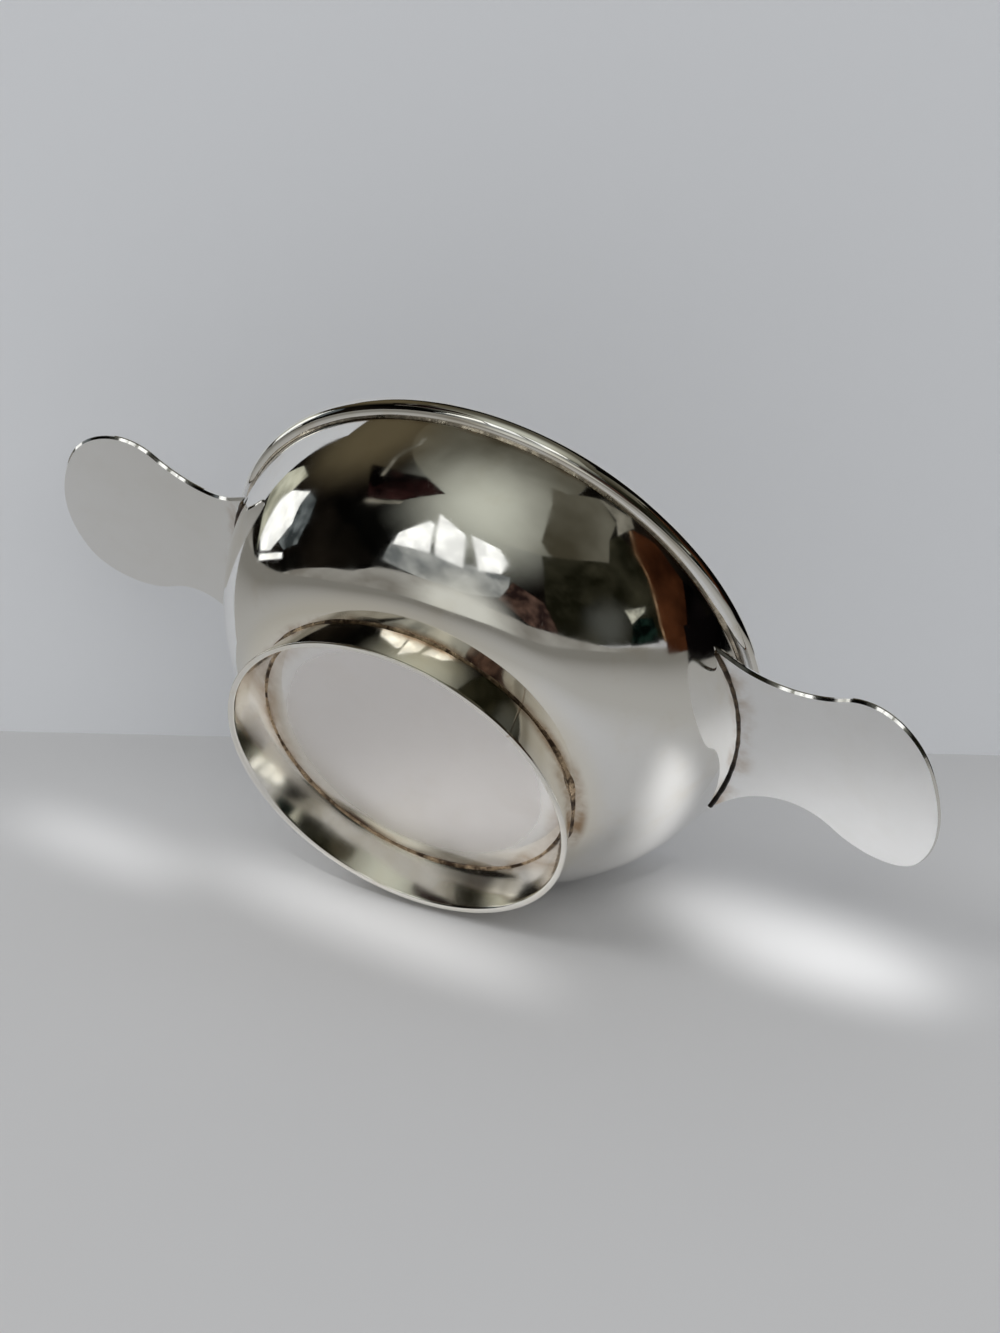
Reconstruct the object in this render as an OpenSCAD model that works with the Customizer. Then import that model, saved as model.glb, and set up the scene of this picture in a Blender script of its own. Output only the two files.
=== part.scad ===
// Quaich: a shallow drinking bowl on a ring foot, with two arched lugs to hold it by.
// Millimetres. +Z runs up the bowl's axis from the foot's resting face, and the lugs lie along X.

/* [Bowl] */
// Across the outside of the rim wire
rim_diameter = 90; // [80:0.5:100]
// Resting face to the top of the rim
overall_height = 35.9; // [32:0.1:42]
// Resting face to the underside of the flat base
base_height = 6.2; // [4.5:0.1:9]
// Across the flat of the base
base_flat = 42; // [34:0.5:48]
// Radius of the bend between the flat base and the wall
base_bend = 18; // [8:0.5:21]
// Thickness of the bowl's sheet
bowl_sheet = 1.2; // [0.8:0.1:2]
// Rounding of the lip's inner edge
lip_round = 0.6; // [0.2:0.1:0.8]

/* [Rim wire] */
// Height of the half-round wire, twice its thickness
wire_width = 3.4; // [2:0.1:5]

/* [Foot] */
// Across the outside of the resting edge
foot_diameter = 56.4; // [50:0.2:66]
// Across the outside where the foot meets the bowl
foot_neck = 52; // [46:0.5:58]
// Radius of the hollow flare down the foot's side
foot_flare = 70; // [16:1:80]
// Thickness of the foot's strip
foot_sheet = 0.9; // [0.6:0.1:2]

/* [Lugs] */
// Rim wire to the tip of a lug, along X
lug_reach = 31.2; // [24:0.2:44]
// Broadest width of a lug
lug_width = 33; // [28:0.2:40]
// Width at the waist
lug_waist = 25.2; // [18:0.2:27]
// Width across the corners at the bowl
lug_root = 36; // [30:0.5:42]
// Radius of the rounded tip
tip_round = 24; // [20:0.5:40]
// Radius of each shoulder beside the tip
shoulder_round = 10.6; // [6:0.2:14]
// Radius of each hollow beside the waist
waist_round = 14; // [8:0.5:18]
// Thickness of the lugs' sheet
lug_sheet = 1; // [0.8:0.1:2]
// Radius of the arch along a lug's underside
lug_arch = 52; // [40:1:120]
// Underside of the rim wire to the top of a lug at the bowl
lug_gap = 2; // [1.2:0.1:5]
// Angle at which the left lug rises from the bowl
left_rise = 21; // [0:0.5:30]
// Angle at which the right lug rises from the bowl
right_rise = 10; // [0:0.5:30]

/* [Solder] */
// Radius of the seams along the foot
foot_seam = 0.7; // [0.4:0.1:1]
// Radius of the seam under the rim wire
rim_seam = 0.7; // [0.5:0.1:1]
// Depth of the seam under each lug
lug_seam = 0.7; // [0.4:0.1:1]

/* [Hidden] */
$fn = 360;
// How far a cutting shape runs past the face that it cuts
past = 2;
// Straight steps in each arc of a lug's outline
arc_steps = 24;
// A reach well beyond the whole object
far = 2 * (rim_diameter + overall_height);

// The wire sits on a wall that stands upright behind it.
wire_r = wire_width / 2;
bowl_r = rim_diameter / 2 - wire_r;
wire_z = overall_height - wire_r;

// The wall is one arc from the rim to the bend, and the bend rolls into the flat base.
// The bend is limited by its wall, which keeps a little width of its own.
wall_least = 1;
flat_r = base_flat / 2;
wall_in = bowl_r - flat_r;
bend_r = min(base_bend, wall_in - wall_least);
bend_c = [flat_r, base_height + bend_r];
wall_up = wire_z - bend_c[1];
wall_round = (pow(wall_in, 2) + pow(wall_up, 2) - pow(bend_r, 2)) / (2 * (wall_in - bend_r));
wall_c = [bowl_r - wall_round, wire_z];
wall_way = (bend_c - wall_c) / norm(bend_c - wall_c);
wall_foot = wall_c + wall_round * wall_way;

// Height of the bowl's underside at radius r.
function under(r) =
    r <= flat_r ? base_height :
    r <= wall_foot[0] ? bend_c[1] - sqrt(pow(bend_r, 2) - pow(r - flat_r, 2)) :
    wall_c[1] - sqrt(pow(wall_round, 2) - pow(r - wall_c[0], 2));

// The foot's outer face is an arc from the resting edge to the bowl, hollow to the outside.
foot_a = [foot_diameter / 2, 0];
foot_b = [foot_neck / 2, under(foot_neck / 2)];
foot_run = foot_b - foot_a;
foot_side = [foot_run[1], -foot_run[0]] / norm(foot_run);
foot_c = (foot_a + foot_b) / 2 + sqrt(pow(foot_flare, 2) - pow(norm(foot_run) / 2, 2)) * foot_side;

// Radius of the foot's inner face where it meets the bowl, closed in on in a few steps.
function foot_in(z) = foot_c[0] - sqrt(pow(foot_flare + foot_sheet, 2) - pow(z - foot_c[1], 2));
function foot_top(n) = n == 0 ? foot_b[1] : under(foot_in(foot_top(n - 1)));
inner_z = foot_top(6);
inner_r = foot_in(inner_z);

// A lug's outline is a chain of arcs that touch: tip, shoulder and waist.
tip_c = [rim_diameter / 2 + lug_reach - tip_round, 0];
shoulder_y = lug_width / 2 - shoulder_round;
shoulder_c = [tip_c[0] + sqrt(pow(tip_round - shoulder_round, 2) - pow(shoulder_y, 2)), shoulder_y];
root = [sqrt(pow(bowl_r, 2) - pow(lug_root / 2, 2)), lug_root / 2];

// The hollow beside the waist, drawn tighter where it would reach past the root's corner.
tighter = 0.95;
function hollow_y(r) = lug_waist / 2 + r;
function hollow_c(r) =
    [shoulder_c[0] - sqrt(pow(r + shoulder_round, 2) - pow(hollow_y(r) - shoulder_y, 2)), hollow_y(r)];
function hollow_fit(r) = norm(root - hollow_c(r)) > r ? r : hollow_fit(tighter * r);
hollow = hollow_fit(waist_round);
waist_c = hollow_c(hollow);

// Where the arcs touch, as angles about their centres.
function bearing(p) = atan2(p[1], p[0]);
waist_at = bearing(shoulder_c - waist_c);
tip_at = bearing(shoulder_c - tip_c);

// The root's flare runs straight from its corner to touch the waist's arc.
root_way = root - waist_c;
flare_at = bearing(root_way) + acos(hollow / norm(root_way));
flare = waist_c + hollow * [cos(flare_at), sin(flare_at)];

// Points along an arc about c, the first one left out.
function arc(c, r, from, to) =
    [for (i = [1 : arc_steps]) let (t = from + (to - from) * i / arc_steps) c + r * [cos(t), sin(t)]];

// One side of a lug's outline, from inside the bowl to the tip.
half_turn = 180;
lug_side = concat(
    [root - [past * bowl_sheet, 0], root, flare],
    arc(waist_c, hollow, flare_at, waist_at),
    arc(shoulder_c, shoulder_round, waist_at + half_turn, tip_at),
    arc(tip_c, tip_round, tip_at, 0));

// Underside of a lug where it leaves the bowl.
lug_z = overall_height - wire_width - lug_gap - lug_sheet;

// Everything within a skin d outside the bowl, in section, up to height top.
module bowl_fill(d, top) {
    base = base_height - d;
    translate([0, base]) square([flat_r, top - base]);
    translate([0, wire_z]) square([bowl_r + d, top - wire_z]);
    intersection() {
        translate(bend_c) circle(bend_r + d);
        translate(bend_c) polygon([[0, 0], [0, -far], far * (wall_way - [0, 1]), far * wall_way]);
    }
    intersection() {
        translate(wall_c) circle(wall_round + d);
        translate(bend_c) polygon([[-flat_r, wall_up], [0, 0], far * wall_way, [far, wall_up]]);
    }
}

module lip_corner() {
    lip_r = bowl_r - bowl_sheet;
    difference() {
        translate([lip_r - past, overall_height - lip_round]) square([lip_round + past, lip_round + past]);
        translate([lip_r + lip_round, overall_height - lip_round]) circle(lip_round);
    }
}

module bowl_section() {
    difference() {
        bowl_fill(0, overall_height);
        bowl_fill(-bowl_sheet, overall_height + past);
        lip_corner();
    }
}

module wire_section() {
    difference() {
        translate([bowl_r, wire_z]) circle(wire_r);
        bowl_fill(0, overall_height);
    }
}

module rim_seam_section() {
    difference() {
        translate([bowl_r, wire_z - wire_r]) circle(rim_seam);
        translate([bowl_r, wire_z]) circle(wire_r);
        bowl_fill(0, overall_height);
    }
}

module foot_section() {
    difference() {
        intersection() {
            translate(foot_c) circle(foot_flare + foot_sheet);
            square([foot_c[0], foot_b[1] + past]);
        }
        translate(foot_c) circle(foot_flare);
        bowl_fill(0, overall_height);
    }
}

module foot_seam_section(at) {
    difference() {
        translate(at) circle(foot_seam);
        foot_section();
        bowl_fill(0, overall_height);
    }
}

module lug_outline() {
    last = len(lug_side) - 2;
    polygon(concat(lug_side, [for (i = [last : -1 : 0]) [lug_side[i][0], -lug_side[i][1]]]));
}

// A sheet arched along the lug, from radius low to radius high about the arch's axis.
module arch(rise, low, high) {
    translate([bowl_r + lug_arch * sin(rise), 0, lug_z - lug_arch * cos(rise)])
        rotate([90, 0, 0])
            linear_extrude(height = lug_root + lug_width, center = true)
                difference() {
                    circle(high);
                    circle(low);
                }
}

// A solid within a skin d outside the bowl's wall, swept from +Y so that its seam clears the lugs.
module wall_block(d) {
    rotate([0, 0, 90])
        rotate_extrude()
            intersection() {
                translate(wall_c) circle(wall_round + d);
                translate([0, bend_c[1]]) square([bowl_r + past, wall_up]);
            }
}

module lug(rise) {
    difference() {
        intersection() {
            linear_extrude(height = far) lug_outline();
            arch(rise, lug_arch, lug_arch + lug_sheet);
        }
        wall_block(0);
    }
}

module lug_seam_bead(rise) {
    difference() {
        intersection() {
            linear_extrude(height = far) lug_outline();
            arch(rise, lug_arch - lug_seam, lug_arch);
            wall_block(lug_seam);
        }
        wall_block(0);
    }
}

module bowl() { color("silver") rotate_extrude() bowl_section(); }
module rim_wire() { color("lightgray") rotate_extrude() wire_section(); }
module foot_ring() { color("lightsteelblue") rotate_extrude() foot_section(); }
module left_lug() { color("gainsboro") mirror([1, 0, 0]) lug(left_rise); }
module right_lug() { color("gainsboro") lug(right_rise); }
module rim_solder() { color("saddlebrown") rotate_extrude() rim_seam_section(); }
module outer_foot_solder() { color("saddlebrown") rotate_extrude() foot_seam_section(foot_b); }
module inner_foot_solder() { color("saddlebrown") rotate_extrude() foot_seam_section([inner_r, inner_z]); }
module left_lug_solder() { color("saddlebrown") mirror([1, 0, 0]) lug_seam_bead(left_rise); }
module right_lug_solder() { color("saddlebrown") lug_seam_bead(right_rise); }

bowl();
rim_wire();
foot_ring();
left_lug();
right_lug();
rim_solder();
outer_foot_solder();
inner_foot_solder();
left_lug_solder();
right_lug_solder();
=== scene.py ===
import math
import bmesh
import bpy
from mathutils import Matrix, Vector


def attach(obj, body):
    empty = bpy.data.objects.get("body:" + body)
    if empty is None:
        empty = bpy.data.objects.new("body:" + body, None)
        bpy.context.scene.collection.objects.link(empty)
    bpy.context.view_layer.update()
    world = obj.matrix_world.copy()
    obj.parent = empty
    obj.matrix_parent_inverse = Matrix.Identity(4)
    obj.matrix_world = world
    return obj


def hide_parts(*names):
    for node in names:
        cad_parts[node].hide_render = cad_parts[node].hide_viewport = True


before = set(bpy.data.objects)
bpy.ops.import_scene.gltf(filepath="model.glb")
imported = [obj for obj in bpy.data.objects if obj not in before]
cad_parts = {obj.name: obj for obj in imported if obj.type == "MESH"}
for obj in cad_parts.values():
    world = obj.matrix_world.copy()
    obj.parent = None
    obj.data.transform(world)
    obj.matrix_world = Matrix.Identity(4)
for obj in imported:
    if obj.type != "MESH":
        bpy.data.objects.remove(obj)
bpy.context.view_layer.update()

MM = 0.001
TURN = 2 * math.pi

# Sizes of the quaich, in metres, as in the part's source.
RIM_R = 45.0 * MM
HEIGHT = 35.9 * MM
BASE_Z = 6.2 * MM
FLAT_R = 21.0 * MM
BEND = 18.0 * MM
SHEET = 1.2 * MM
LIP = 0.6 * MM
WIRE = 1.7 * MM
FOOT_R = 28.2 * MM
NECK_R = 26.0 * MM
FLARE = 70.0 * MM
FOOT_SHEET = 0.9 * MM
REACH = 31.2 * MM
LUG_W = 33.0 * MM
WAIST_W = 25.2 * MM
ROOT_W = 36.0 * MM
TIP = 24.0 * MM
SHOULDER = 10.6 * MM
HOLLOW = 14.0 * MM
ARCH = 52.0 * MM
LUG_SHEET = 1.0 * MM
LUG_GAP = 2.0 * MM
LEFT_RISE = math.radians(21.0)
RIGHT_RISE = math.radians(10.0)

# Finer work than the source holds: filed edges, the flat blank of a lug and how far its root sinks in.
FILED = 0.28 * MM
LUG_BLANK = 0.7 * MM
ROOT_SINK = 0.9 * MM

# Solder: how full a ring seam is in its corner, how deep it sinks, and how evenly it runs.
SEAM_FULL = 0.42
SEAM_SINK = 0.2 * MM
SEAM_LEAN = 0.8
SEAM_RIPPLE = 0.2

# The bead under a lug: its size, its end short of the lug's corner, and how it swells to the far end.
BEAD_R = 0.36 * MM
BEAD_SINK = 0.05 * MM
BEAD_SHORT = 0.012
BEAD_LEAN = 0.85
BEAD_GROW = 0.8

# How fine the meshes are, and how near two points lie to be one.
ROUND_STEPS = 256
SEAM_STEPS = 360
BASE_STEPS = 16
BEND_STEPS = 14
WALL_STEPS = 36
EDGE_STEPS = 2
LIP_STEPS = 8
WIRE_STEPS = 28
FOOT_STEPS = 12
TIP_STEPS = 20
WAIST_STEPS = 20
SHOULDER_STEPS = 24
ROOT_STEPS = 32
BEAD_SIDES = 14
BEAD_STEPS = 72
MERGE = 1e-6
FINE_MERGE = 1e-7

# Cuts across a lug that let it bend, and what counts as the edge to be filed.
LUG_CUTS = 44
CUT_FROM = 38.5 * MM
CUT_APART = 0.87 * MM
FILED_FROM = 42.75 * MM
SHARP_TURN = 1.0
LEVEL = 0.1 * MM

BOWL_R = RIM_R - WIRE
WIRE_Z = HEIGHT - WIRE
LUG_Z = HEIGHT - 2 * WIRE - LUG_GAP - LUG_SHEET

# The bowl's wall: one arc from the rim to the bend above the flat base.
BEND_C = Vector((FLAT_R, BASE_Z + BEND))
wall_in = BOWL_R - FLAT_R
wall_up = WIRE_Z - BEND_C.y
WALL = (wall_in ** 2 + wall_up ** 2 - BEND ** 2) / (2 * (wall_in - BEND))
WALL_C = Vector((BOWL_R - WALL, WIRE_Z))
wall_way = (BEND_C - WALL_C).normalized()
WALL_TURN = -math.atan2(wall_way.y, wall_way.x)
BEND_TURN = math.pi / 2 - WALL_TURN


def under(r):
    """Height of the bowl's underside at radius r."""
    if r <= FLAT_R:
        return BASE_Z
    if r <= WALL_C.x + WALL * wall_way.x:
        return BEND_C.y - math.sqrt(BEND ** 2 - (r - FLAT_R) ** 2)
    return WALL_C.y - math.sqrt(WALL ** 2 - (r - WALL_C.x) ** 2)


def wall_at(z):
    """Radius of the bowl's outer wall at height z."""
    return WALL_C.x + math.sqrt(WALL ** 2 - (z - WALL_C.y) ** 2)


# The foot's side is an arc, hollow to the outside.
foot_a = Vector((FOOT_R, 0.0))
foot_b = Vector((NECK_R, under(NECK_R)))
foot_run = foot_b - foot_a
foot_side = Vector((foot_run.y, -foot_run.x)).normalized()
FOOT_C = (foot_a + foot_b) / 2 + math.sqrt(FLARE ** 2 - foot_run.length_squared / 4) * foot_side


def foot_in(z):
    """Radius of the foot's inner face at height z."""
    return FOOT_C.x - math.sqrt((FLARE + FOOT_SHEET) ** 2 - (z - FOOT_C.y) ** 2)


# Where the foot's inner face meets the bowl, closed in on in a few steps.
inner_z = foot_b.y
for step in range(6):
    inner_z = under(foot_in(inner_z))
foot_d = Vector((foot_in(inner_z), inner_z))


def bearing(centre, point):
    """The angle at which a point lies from a centre."""
    return math.atan2(point.y - centre.y, point.x - centre.x)


def short_turn(centre, start, end):
    """The angle from one point to another about a centre, the shorter way round."""
    turn = (bearing(centre, end) - bearing(centre, start)) % TURN
    return turn - TURN if turn > math.pi else turn


# Building helpers. A profile is a chain of points in the XZ plane that is then spun about Z.
def corners_of(geom):
    return [g for g in geom if isinstance(g, bmesh.types.BMVert)]


def weld(bm, apart=MERGE):
    bmesh.ops.remove_doubles(bm, verts=bm.verts[:], dist=apart)


def swing(bm, geom, centre, axis, angle, steps, merge=False):
    """Sweeps a shape about an axis and gives back what the last step made."""
    out = bmesh.ops.spin(bm, geom=geom, cent=centre, axis=axis, dvec=(0, 0, 0), angle=angle, steps=steps,
                         use_merge=merge, use_duplicate=False)
    return out["geom_last"]


def begin(bm, x, z):
    return bm.verts.new((x, 0.0, z))


def next_point(bm, last, place):
    """Carries a chain on to a new place."""
    made = bmesh.ops.extrude_vert_indiv(bm, verts=[last])["verts"][0]
    made.co = place
    return made


def line_to(bm, last, x, z, steps=1):
    start = last.co.copy()
    for step in range(steps):
        last = next_point(bm, last, start.lerp((x, 0.0, z), (step + 1) / steps))
    return last


def arc_to(bm, last, centre, angle, steps):
    """Carries the chain on along an arc; a positive angle turns from +X towards +Z."""
    return corners_of(swing(bm, [last], (centre.x, 0.0, centre.y), (0, 1, 0), -angle, steps))[0]


def flat_arc(bm, last, centre, angle, steps):
    """Carries a lug's outline on along an arc in the XY plane."""
    return corners_of(swing(bm, [last], (centre.x, centre.y, 0.0), (0, 0, 1), angle, steps))[0]


def spin_round(bm, steps):
    swing(bm, bm.verts[:] + bm.edges[:], (0, 0, 0), (0, 0, 1), TURN, steps, merge=True)
    weld(bm)


def finish_piece(bm, name, node, crease=38.0):
    weld(bm)
    bmesh.ops.recalc_face_normals(bm, faces=bm.faces[:])
    mesh = bpy.data.meshes.new(name)
    bm.to_mesh(mesh)
    bm.free()
    mesh.shade_smooth()
    mesh.set_sharp_from_angle(angle=math.radians(crease))
    piece = bpy.data.objects.new(name, mesh)
    bpy.context.scene.collection.objects.link(piece)
    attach(piece, "root")
    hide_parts(node)
    return piece


def make_bowl():
    bm = bmesh.new()
    lip_c = Vector((BOWL_R - SHEET + LIP, HEIGHT - LIP))
    end = begin(bm, 0.0, BASE_Z)
    end = line_to(bm, end, FLAT_R, BASE_Z, BASE_STEPS)
    end = arc_to(bm, end, BEND_C, BEND_TURN, BEND_STEPS)
    end = arc_to(bm, end, WALL_C, WALL_TURN, WALL_STEPS)
    end = line_to(bm, end, BOWL_R, HEIGHT, EDGE_STEPS)
    end = line_to(bm, end, lip_c.x, HEIGHT)
    end = arc_to(bm, end, lip_c, math.pi / 2, LIP_STEPS)
    end = line_to(bm, end, BOWL_R - SHEET, WIRE_Z, EDGE_STEPS)
    end = arc_to(bm, end, WALL_C, -WALL_TURN, WALL_STEPS)
    end = arc_to(bm, end, BEND_C, -BEND_TURN, BEND_STEPS)
    line_to(bm, end, 0.0, BASE_Z + SHEET, BASE_STEPS)
    spin_round(bm, ROUND_STEPS)
    return finish_piece(bm, "raised_bowl", "bowl")


def make_wire():
    bm = bmesh.new()
    end = begin(bm, BOWL_R, WIRE_Z - WIRE)
    end = arc_to(bm, end, Vector((BOWL_R, WIRE_Z)), math.pi, WIRE_STEPS)
    line_to(bm, end, BOWL_R, WIRE_Z - WIRE)
    spin_round(bm, ROUND_STEPS)
    return finish_piece(bm, "rim_band", "rim_wire", crease=50.0)


def make_foot():
    bm = bmesh.new()
    inner_edge = Vector((foot_in(0.0), 0.0))
    end = begin(bm, inner_edge.x, 0.0)
    end = line_to(bm, end, FOOT_R, 0.0)
    end = arc_to(bm, end, FOOT_C, short_turn(FOOT_C, foot_a, foot_b), FOOT_STEPS)
    end = line_to(bm, end, foot_d.x, foot_d.y)
    arc_to(bm, end, FOOT_C, short_turn(FOOT_C, foot_d, inner_edge), FOOT_STEPS)
    weld(bm, FINE_MERGE)
    bottom = [v for v in bm.verts if v.co.z < MERGE]
    bmesh.ops.bevel(bm, geom=bottom, offset=FILED, offset_type="OFFSET", segments=4, profile=0.5,
                    affect="VERTICES", material=-1)
    spin_round(bm, ROUND_STEPS)
    return finish_piece(bm, "foot_band", "foot_ring", crease=50.0)


# A lug's outline, worked out as in the source, for the lug on the right.
tip_c = Vector((RIM_R + REACH - TIP, 0.0))
shoulder_y = LUG_W / 2 - SHOULDER
shoulder_c = Vector((tip_c.x + math.sqrt((TIP - SHOULDER) ** 2 - shoulder_y ** 2), shoulder_y))
waist_y = WAIST_W / 2 + HOLLOW
waist_in = math.sqrt((HOLLOW + SHOULDER) ** 2 - (waist_y - shoulder_y) ** 2)
waist_c = Vector((shoulder_c.x - waist_in, waist_y))
root = Vector((math.sqrt(BOWL_R ** 2 - (ROOT_W / 2) ** 2), ROOT_W / 2))
tip_at = bearing(tip_c, shoulder_c)
waist_at = bearing(waist_c, shoulder_c)
flare_at = bearing(waist_c, root) + math.acos(HOLLOW / (root - waist_c).length)
flare = waist_c + HOLLOW * Vector((math.cos(flare_at), math.sin(flare_at)))


def arch_z(x, rise, radius):
    """Height of a lug's arch at distance x from the bowl's axis."""
    across = x - (BOWL_R + ARCH * math.sin(rise))
    return LUG_Z - ARCH * math.cos(rise) + math.sqrt(radius ** 2 - across ** 2)


def on_outline(edge):
    """Whether an edge of a lug's blank runs along its outline, clear of the bowl's wall."""
    sharp = len(edge.link_faces) == 2 and edge.calc_face_angle(0.0) > SHARP_TURN
    level = abs(edge.verts[0].co.z - edge.verts[1].co.z) < LEVEL
    return sharp and level and max(v.co.xy.length for v in edge.verts) > FILED_FROM


def face_left(bm, side):
    """Turns what was made for the right to the left, where side is negative."""
    if side < 0:
        bmesh.ops.scale(bm, vec=(-1, 1, 1), verts=bm.verts[:])


def make_lug(name, node, side, rise):
    bm = bmesh.new()
    corner = (root + (root - flare).normalized() * ROOT_SINK).to_3d()
    end = bm.verts.new(corner)
    end = next_point(bm, end, flare.to_3d())
    end = flat_arc(bm, end, waist_c, (waist_at - flare_at) % TURN, WAIST_STEPS)
    end = flat_arc(bm, end, shoulder_c, (tip_at - waist_at - math.pi) % TURN - TURN, SHOULDER_STEPS)
    flat_arc(bm, end, tip_c, -tip_at, TIP_STEPS)
    bmesh.ops.mirror(bm, geom=bm.verts[:] + bm.edges[:], axis="Y", merge_dist=MERGE)
    weld(bm)
    first = min(bm.verts, key=lambda v: (v.co - corner).length)
    flat_arc(bm, first, Vector((0.0, 0.0)), -2 * math.atan2(corner.y, corner.x), ROOT_STEPS)
    weld(bm)
    bmesh.ops.contextual_create(bm, geom=bm.edges[:])
    for cut in range(LUG_CUTS):
        bmesh.ops.bisect_plane(bm, geom=bm.verts[:] + bm.edges[:] + bm.faces[:], dist=MERGE,
                               plane_co=(CUT_FROM + CUT_APART * cut, 0, 0), plane_no=(1, 0, 0))
    out = bmesh.ops.extrude_face_region(bm, geom=bm.faces[:])
    bmesh.ops.translate(bm, verts=corners_of(out["geom"]), vec=(0, 0, LUG_BLANK))
    weld(bm, FINE_MERGE)
    bmesh.ops.recalc_face_normals(bm, faces=bm.faces[:])
    bmesh.ops.bevel(bm, geom=[e for e in bm.edges if on_outline(e)], offset=FILED, offset_type="OFFSET",
                    segments=1, profile=0.5, affect="EDGES", material=-1, clamp_overlap=False)
    # The flat blank is bent to its arch and drawn out to its full sheet, which steepens the filed edge.
    for v in bm.verts:
        v.co.z = arch_z(v.co.x, rise, ARCH + LUG_SHEET * v.co.z / LUG_BLANK)
    face_left(bm, side)
    return finish_piece(bm, name, node, crease=24.0)


def ripple(angle, seed):
    """A gentle unevenness along a hand-run seam, between -1 and 1."""
    waves = ((7, 1.0), (17, 2.3), (31, 4.1))
    return sum(math.sin(count * angle + shift * seed) for count, shift in waves) / len(waves)


def lump(angle, pools):
    """How much a seam swells where the solder has pooled; each pool is an angle, a width and a swelling."""
    swell = 0.0
    for at, width, grow in pools:
        off = (math.degrees(angle) - at + 180.0) % 360.0 - 180.0
        swell += grow * math.exp(-(off / width) ** 2)
    return swell


def make_ring_seam(name, node, corner, toward_a, toward_b, radius, seed, pools):
    """A bead that fills the corner between two faces, running right round the bowl."""
    bm = bmesh.new()
    a = corner + toward_a * radius
    b = corner + toward_b * radius
    full = corner + (toward_a + toward_b) * radius * SEAM_FULL
    back = corner - (toward_a + toward_b).normalized() * SEAM_SINK
    end = begin(bm, a.x, a.y)
    end = line_to(bm, end, full.x, full.y, 3)
    end = line_to(bm, end, b.x, b.y, 3)
    end = line_to(bm, end, back.x, back.y)
    line_to(bm, end, a.x, a.y)
    weld(bm, FINE_MERGE)
    spin_round(bm, SEAM_STEPS)
    for v in bm.verts:
        angle = math.atan2(v.co.y, v.co.x)
        swell = SEAM_LEAN + SEAM_RIPPLE * ripple(angle, seed) + lump(angle, pools)
        flat = Vector((v.co.xy.length, v.co.z))
        flat = corner + (flat - corner) * swell
        v.co = (flat.x * math.cos(angle), flat.x * math.sin(angle), flat.y)
    return finish_piece(bm, name, node, crease=60.0)


def make_lug_seam(name, node, side, rise, seed):
    """A bead under a lug's root, along the bowl's wall, fuller at the far end."""
    bm = bmesh.new()
    reach = wall_at(LUG_Z)
    half = math.atan2(root.y, root.x) - BEAD_SHORT
    made = bmesh.ops.create_circle(bm, cap_ends=True, radius=BEAD_R, segments=BEAD_SIDES)["verts"]
    bmesh.ops.rotate(bm, verts=made, cent=(0, 0, 0), matrix=Matrix.Rotation(math.pi / 2, 3, "X"))
    bmesh.ops.translate(bm, verts=made, vec=(reach, 0, 0))
    bmesh.ops.rotate(bm, verts=made, cent=(0, 0, 0), matrix=Matrix.Rotation(-half, 3, "Z"))
    swing(bm, bm.verts[:] + bm.edges[:] + bm.faces[:], (0, 0, 0), (0, 0, 1), 2 * half, BEAD_STEPS)
    for v in bm.verts:
        angle = math.atan2(v.co.y, v.co.x)
        past_middle = max(0.0, (angle + half) / (2 * half) - 0.5)
        swell = BEAD_LEAN + SEAM_RIPPLE * ripple(3 * angle, seed) + BEAD_GROW * past_middle
        out = reach + (v.co.xy.length - reach) * swell
        ring_z = arch_z(reach * math.cos(angle), rise, ARCH) - BEAD_SINK
        v.co = (out * math.cos(angle), out * math.sin(angle), ring_z + v.co.z * swell)
    face_left(bm, side)
    bmesh.ops.holes_fill(bm, edges=[e for e in bm.edges if e.is_boundary], sides=0)
    return finish_piece(bm, name, node, crease=70.0)


bowl = make_bowl()
wire = make_wire()
foot = make_foot()
left_lug = make_lug("left_lug_plate", "left_lug", -1, LEFT_RISE)
right_lug = make_lug("right_lug_plate", "right_lug", 1, RIGHT_RISE)

# Ring seams: the corner each one fills, the ways along its two faces, and where the solder has pooled.
rim_corner = Vector((BOWL_R, WIRE_Z - WIRE))
rim_pools = [(-160, 4, 0.7), (-28, 3, 0.5), (-75, 6, 0.25)]
rim_seam = make_ring_seam("rim_seam", "rim_solder", rim_corner, Vector((0.0, -1.0)), Vector((0.97, 0.24)),
                          0.42 * MM, 1.0, rim_pools)
foot_out = (foot_a - foot_b).normalized()
bowl_out = Vector((math.cos(0.3), math.sin(0.3)))
outer_pools = [(-11, 6, 0.8), (-24, 7, 0.4), (15, 4, 0.7), (60, 9, 0.3), (150, 12, 0.3)]
outer_seam = make_ring_seam("outer_foot_seam", "outer_foot_solder", foot_b, foot_out, bowl_out,
                            0.42 * MM, 2.0, outer_pools)
inner_pools = [(78, 8, 0.5), (60, 6, 0.4), (140, 5, 0.4)]
inner_seam = make_ring_seam("inner_foot_seam", "inner_foot_solder", foot_d, Vector((0.29, -0.957)),
                            Vector((-0.97, -0.24)), 0.36 * MM, 3.0, inner_pools)
left_seam = make_lug_seam("left_lug_seam", "left_lug_solder", -1, LEFT_RISE, 1.5)
right_seam = make_lug_seam("right_lug_seam", "right_lug_solder", 1, RIGHT_RISE, 2.6)


# Materials.
def new_material(name):
    material = bpy.data.materials.new(name)
    material.use_nodes = True
    material.node_tree.nodes.clear()
    return material


def node_in(tree, kind, **values):
    made = tree.nodes.new(kind)
    for key, value in values.items():
        setattr(made, key, value)
    return made


def link(tree, out, into):
    tree.links.new(out, into)


def feed(tree, value, socket):
    """Sets a socket to a number or colour, or links another node's output to it."""
    if isinstance(value, bpy.types.NodeSocket):
        link(tree, value, socket)
    else:
        socket.default_value = value


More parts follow.
